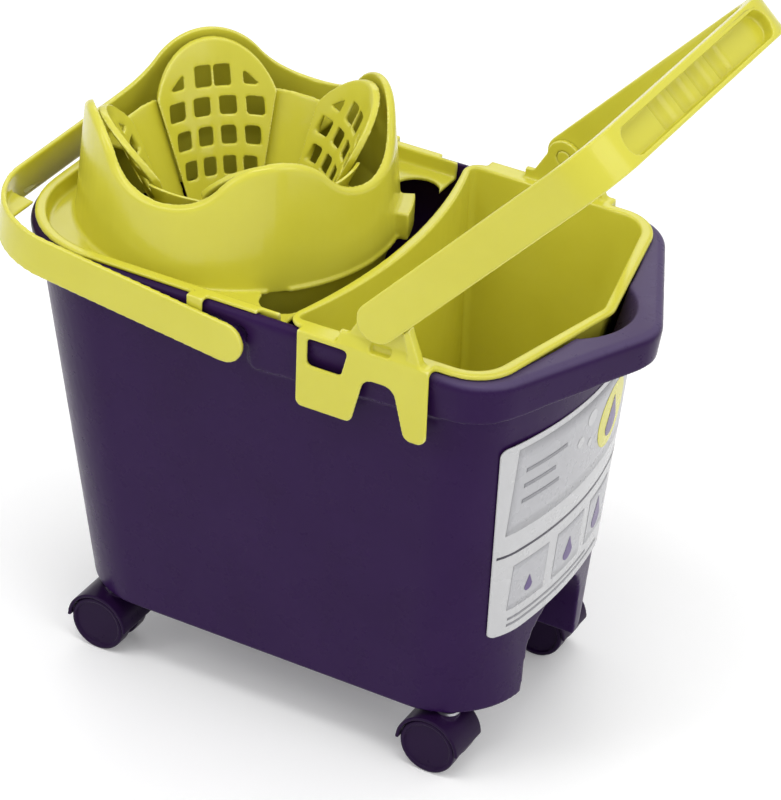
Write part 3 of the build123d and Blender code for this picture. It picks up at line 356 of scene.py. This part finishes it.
soften("bucket_body", *BUCKET_ROUNDING)
soften("wringer_housing", *SHELL_ROUNDING)
for name in ("rinse_tub", "bail_handle", "tub_handle"):
    soften(name, *TUB_ROUNDING)
for name in ("jaw_rear_right", "jaw_rear_left", "jaw_front_left", "jaw_front_right", "wringer_basket"):
    soften(name, *JAW_ROUNDING)
for name in NODES:
    if name.startswith("caster_") and name.endswith(("_hood", "_wheel_near", "_wheel_far")):
        soften(name, *CASTER_ROUNDING)

# Return spring, which the press plate pushes together; the coil here is built at one fixed length
COIL_WIRE = 0.0016
COIL_TURNS = 6
COIL_STEPS = 24 * COIL_TURNS
COIL_SIDES = 10


def return_coil():
    """Wire wound steadily up between the ends of the spring's place."""
    low, high = (Vector(corner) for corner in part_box("return_spring"))
    mid = (low + high) / 2
    radius = (high.y - low.y - COIL_WIRE) / 2
    climb = high.z - low.z - COIL_WIRE
    bm = bmesh.new()
    rings = []
    for k in range(COIL_STEPS + 1):
        turn = 2 * pi * COIL_TURNS * k / COIL_STEPS
        out = Vector((cos(turn), sin(turn), 0.0))
        along = Vector((-sin(turn), cos(turn), climb / (2 * pi * COIL_TURNS * radius))).normalized()
        over = along.cross(out)
        centre = Vector((mid.x, mid.y, low.z + COIL_WIRE / 2 + climb * k / COIL_STEPS)) + radius * out
        angles = [2 * pi * side / COIL_SIDES for side in range(COIL_SIDES)]
        rings.append([bm.verts.new(centre + COIL_WIRE / 2 * (cos(a) * out + sin(a) * over)) for a in angles])
    for first, second in zip(rings, rings[1:]):
        for side in range(COIL_SIDES):
            after = (side + 1) % COIL_SIDES
            bm.faces.new((first[side], first[after], second[after], second[side])).smooth = True
    bm.faces.new(rings[0])
    bm.faces.new(rings[-1])
    bmesh.ops.recalc_face_normals(bm, faces=bm.faces)
    mesh = bpy.data.meshes.new("return_coil")
    bm.to_mesh(mesh)
    bm.free()
    mesh.materials.append(steel)
    coil = bpy.data.objects.new("return_coil", mesh)
    bpy.context.scene.collection.objects.link(coil)
    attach(coil, "wringer")
    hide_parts("return_spring")
    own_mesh(coil)


return_coil()

# Print on the sticker: plain panels, discs, drops and bars
LABEL = NODES["end_label"]
INK_LIFT = 0.00018
INK_T = 0.00005
PATCH_COLUMNS = 28
PANEL_STEPS = 6
DISC_STEPS = 20
DROP_STEPS = 14
LEAST_HALF = 0.0001
DROP_HEIGHT = 2.1
DROP_TAPER = 0.8
DROP_PINCH = 0.25

# Layout of the print in metres: near y, far y, low z and high z of a panel; y, z and radius of a disc or drop
UPPER_PANEL = (-0.079, 0.074, 0.194, 0.261)
DIVIDER = (-0.082, 0.077, 0.176, 0.178)
DISC = (0.038, 0.228, 0.024)
DISC_DROP = (0.038, 0.221, 0.010)
BUBBLES = ((0.000, 0.246, 0.006), (-0.012, 0.233, 0.004), (0.002, 0.226, 0.003))
BAR_NEAR_Y = -0.070
BAR_FAR_Y = (-0.030, -0.040, -0.034)
BAR_Z = 0.240
BAR_STEP = 0.012
BAR_HEIGHT = 0.003
TILES = 3
TILE_Y = -0.050
TILE_PITCH = 0.046
TILE_HALF_WIDTH = 0.018
TILE_LOW_Z = 0.130
TILE_HIGH_Z = 0.166
TILE_DROP_Z = 0.142
TILE_DROP_R = 0.004
TILE_DROP_GROWTH = 0.002
FOOT_BAR_NEAR_Y = -0.066
FOOT_BAR_FAR_Y = (0.030, 0.052)
FOOT_BAR_Z = 0.121
FOOT_BAR_STEP = 0.005
FOOT_BAR_HEIGHT = 0.002

bpy.context.view_layer.update()


def on_label(y, z, lift):
    """Point over the sticker's outer face, seen along -X."""
    found, at, normal, _ = LABEL.ray_cast(Vector((1.0, y, z)), Vector((-1.0, 0.0, 0.0)))
    if not found:
        raise ValueError(f"print at {y:.4f}, {z:.4f} runs off the sticker")
    return at + lift * normal


def print_patch(name, rows, ink, layer=1):
    """Printed patch that follows the sticker; rows are (z, near y, far y) from the bottom up."""
    bm = bmesh.new()
    grid = []
    for z, near, far in rows:
        places = [near + (far - near) * k / PATCH_COLUMNS for k in range(PATCH_COLUMNS + 1)]
        grid.append([bm.verts.new(on_label(y, z, layer * INK_LIFT)) for y in places])
    for low, high in zip(grid, grid[1:]):
        for k in range(PATCH_COLUMNS):
            bm.faces.new((low[k], low[k + 1], high[k + 1], high[k])).smooth = True
    mesh = bpy.data.meshes.new(name)
    bm.to_mesh(mesh)
    bm.free()
    mesh.materials.append(ink)
    patch = bpy.data.objects.new(name, mesh)
    bpy.context.scene.collection.objects.link(patch)
    thick = patch.modifiers.new("Ink", "SOLIDIFY")
    thick.thickness = INK_T
    thick.offset = -1.0
    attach(patch, "bucket")


def panel_rows(near, far, low, high):
    return [(low + (high - low) * k / PANEL_STEPS, near, far) for k in range(PANEL_STEPS + 1)]


def disc_rows(y, z, radius):
    rows = []
    for k in range(DISC_STEPS + 1):
        turn = -pi / 2 + pi * k / DISC_STEPS
        half = max(radius * cos(turn), LEAST_HALF)
        rows.append((z + radius * sin(turn), y - half, y + half))
    return rows


def drop_rows(y, z, radius):
    """Water drop: a half circle below, drawn up to a point."""
    rows = [row for row in disc_rows(y, z, radius) if row[0] <= z]
    for k in range(1, DROP_STEPS + 1):
        rise = k / DROP_STEPS
        half = max(radius * (1.0 - rise) ** DROP_TAPER * (1.0 - DROP_PINCH * rise), LEAST_HALF)
        rows.append((z + DROP_HEIGHT * radius * rise, y - half, y + half))
    return rows


ink_pale = printed_film("ink_pale", INK_PALE)
ink_grey = printed_film("ink_grey", INK_GREY)
ink_dark = printed_film("ink_dark", INK_DARK)
ink_violet = printed_film("ink_violet", INK_VIOLET)
ink_lime = printed_film("ink_lime", LIME)

print_patch("print_upper_panel", panel_rows(*UPPER_PANEL), ink_pale)
print_patch("print_divider", panel_rows(*DIVIDER), ink_dark)
print_patch("print_disc", disc_rows(*DISC), ink_lime, 2)
print_patch("print_disc_drop", drop_rows(*DISC_DROP), ink_violet, 3)
for k, bubble in enumerate(BUBBLES):
    print_patch(f"print_bubble_{k}", disc_rows(*bubble), film, 2)
for k, far in enumerate(BAR_FAR_Y):
    low = BAR_Z - BAR_STEP * k
    print_patch(f"print_bar_{k}", panel_rows(BAR_NEAR_Y, far, low, low + BAR_HEIGHT), ink_grey, 2)
for k in range(TILES):
    y = TILE_Y + TILE_PITCH * k
    tile = panel_rows(y - TILE_HALF_WIDTH, y + TILE_HALF_WIDTH, TILE_LOW_Z, TILE_HIGH_Z)
    print_patch(f"print_tile_{k}", tile, ink_pale)
    drop = drop_rows(y, TILE_DROP_Z, TILE_DROP_R + TILE_DROP_GROWTH * k)
    print_patch(f"print_tile_drop_{k}", drop, ink_violet, 2)
for k, far in enumerate(FOOT_BAR_FAR_Y):
    low = FOOT_BAR_Z - FOOT_BAR_STEP * k
    print_patch(f"print_foot_bar_{k}", panel_rows(FOOT_BAR_NEAR_Y, far, low, low + FOOT_BAR_HEIGHT), ink_grey)

# Floor, light and camera
floor_mesh = bpy.data.meshes.new("floor")
bm = bmesh.new()
bmesh.ops.create_grid(bm, x_segments=1, y_segments=1, size=FLOOR_HALF_SIZE)
bm.to_mesh(floor_mesh)
bm.free()
floor = bpy.data.objects.new("floor", floor_mesh)
bpy.context.scene.collection.objects.link(floor)
floor_material, floor_tree, floor_shader = new_material("floor_pale")
floor_tone = noise(floor_tree, 3.0)
floor_tree.links.new(
    ramp(floor_tree, floor_tone, [(NOISE_LOW, FLOOR_DULL), (NOISE_HIGH, FLOOR)]),
    floor_shader.inputs["Base Color"],
)
floor_shader.inputs["Roughness"].default_value = 0.6

# The floor shows white to the eye and to reflections, and lights the object as the pale floor it is
rays = floor_tree.nodes.new("ShaderNodeLightPath")
shown = rays.outputs["Is Camera Ray"]
for name in ("Is Glossy Ray", "Is Transmission Ray"):
    either = floor_tree.nodes.new("ShaderNodeMath")
    either.operation = "MAXIMUM"
    floor_tree.links.new(shown, either.inputs[0])
    floor_tree.links.new(rays.outputs[name], either.inputs[1])
    shown = either.outputs["Value"]
lift = floor_tree.nodes.new("ShaderNodeMath")
lift.operation = "MULTIPLY"
lift.inputs[1].default_value = FLOOR_LIFT
floor_tree.links.new(shown, lift.inputs[0])
floor_shader.inputs["Emission Color"].default_value = (1.0, 1.0, 1.0, 1.0)
floor_tree.links.new(lift.outputs["Value"], floor_shader.inputs["Emission Strength"])
floor.data.materials.append(floor_material)

world = bpy.data.worlds.new("studio")
bpy.context.scene.world = world
world.use_nodes = True
backdrop = world.node_tree.nodes["Background"]
backdrop.inputs["Color"].default_value = (1.0, 1.0, 1.0, 1.0)
backdrop.inputs["Strength"].default_value = WORLD_STRENGTH


def softbox(name, at, target, size, watts):
    data = bpy.data.lights.new(name, "AREA")
    data.shape = "RECTANGLE"
    data.size, data.size_y = size
    data.energy = watts
    lamp = bpy.data.objects.new(name, data)
    lamp.location = at
    lamp.rotation_euler = (Vector(target) - Vector(at)).to_track_quat("-Z", "Y").to_euler()
    bpy.context.scene.collection.objects.link(lamp)


for name, (at, size, watts) in LAMPS.items():
    softbox(name, at, LAMP_TARGET, size, watts)

sun_data = bpy.data.lights.new("daylight", "SUN")
sun_data.energy = SUN_STRENGTH
sun_data.angle = radians(SUN_ANGLE)
sun = bpy.data.objects.new("daylight", sun_data)
sun.rotation_euler = Vector(SUN_DIRECTION).to_track_quat("-Z", "Y").to_euler()
bpy.context.scene.collection.objects.link(sun)

azimuth, elevation, roll = (radians(a) for a in (CAMERA_AZIMUTH, CAMERA_ELEVATION, CAMERA_ROLL))
forward = Vector((-sin(azimuth) * cos(elevation), cos(azimuth) * cos(elevation), -sin(elevation)))
right = Vector((cos(azimuth), sin(azimuth), 0.0))
up = right.cross(forward)
right, up = cos(roll) * right + sin(roll) * up, -sin(roll) * right + cos(roll) * up
camera_data = bpy.data.cameras.new("camera")
camera_data.sensor_width = SENSOR
camera_data.lens = CAMERA_FOCAL_PX * SENSOR / FRAME_HEIGHT_PX
camera_data.clip_end = CAMERA_REACH
camera = bpy.data.objects.new("camera", camera_data)
camera.matrix_world = Matrix.Translation(CAMERA_AT) @ Matrix((right, up, -forward)).transposed().to_4x4()
bpy.context.scene.collection.objects.link(camera)
bpy.context.scene.camera = camera
bpy.context.scene.view_settings.view_transform = "Standard"
